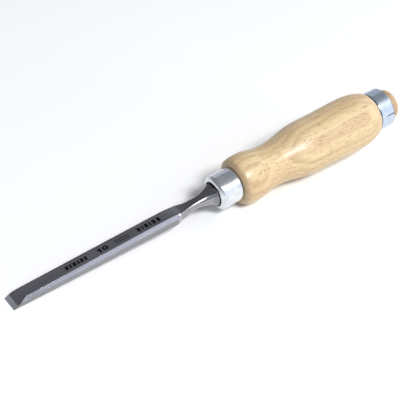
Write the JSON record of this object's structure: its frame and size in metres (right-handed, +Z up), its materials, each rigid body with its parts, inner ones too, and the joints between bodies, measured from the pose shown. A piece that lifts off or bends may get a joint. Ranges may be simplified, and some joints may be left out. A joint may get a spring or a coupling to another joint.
{
  "type": "bevel-edge bench chisel",
  "caption": "Bevel-edge bench chisel: narrow forged blade with waisted neck, steel ferrule, turned beech handle and a steel striking hoop.",
  "frame": {"origin": "middle of the footprint of the tool lying on a bench, at the height of the bench; the cutting edge and the handle's bead both touch Z = 0", "axes": "+X along the tool from the cutting edge towards the striking end (the tool's own axis rises 4.3 degrees out of X), +Z up, flat back of the blade facing down"},
  "size_m": [0.2528, 0.032, 0.0358],
  "materials": {
    "blade_steel": "fine ground, lightly polished",
    "ferrule_steel": "bright plated, drawn",
    "beech": "clear lacquered beech, semi-gloss",
    "hoop_steel": "bright zinc plated"
  },
  "bodies": {
    "root": {"blade": "blade_steel", "front_ferrule": "ferrule_steel", "handle": "beech", "striking_hoop": "hoop_steel"}
  },
  "joints": []
}
